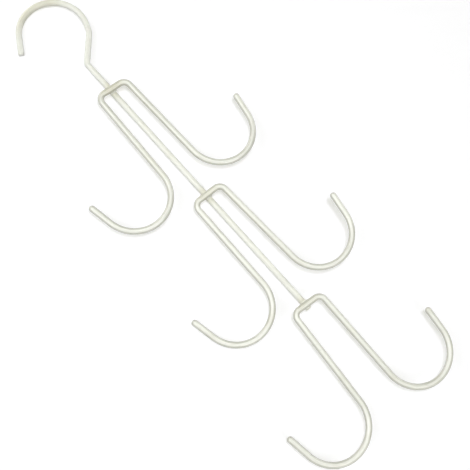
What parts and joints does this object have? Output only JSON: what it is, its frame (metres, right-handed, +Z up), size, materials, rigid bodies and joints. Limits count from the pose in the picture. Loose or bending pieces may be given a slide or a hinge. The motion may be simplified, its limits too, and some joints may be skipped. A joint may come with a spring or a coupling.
{
  "type": "handbag hanger",
  "caption": "Tiered handbag hanger of welded, ivory-enamelled steel wire: a rod with a round closet hook bent at its top, and wires with outward J hooks welded across its front.",
  "frame": {"origin": "the saddle: the point inside the crown of the closet hook that rests on a closet rod", "axes": "+Z up along the rod, +X to the right as seen from the front, so the closet hook opens towards -X; -Y is the front, where the double hooks cross the rod"},
  "size_m": [0.1521, 0.013, 0.4227],
  "materials": {
    "ivory_enamel": "gloss"
  },
  "bodies": {
    "root": {"hanging_rod": "ivory_enamel", "upper_double_hook": "ivory_enamel", "upper_weld": "ivory_enamel", "middle_double_hook": "ivory_enamel", "middle_weld": "ivory_enamel", "lower_double_hook": "ivory_enamel", "lower_weld": "ivory_enamel"}
  },
  "joints": []
}
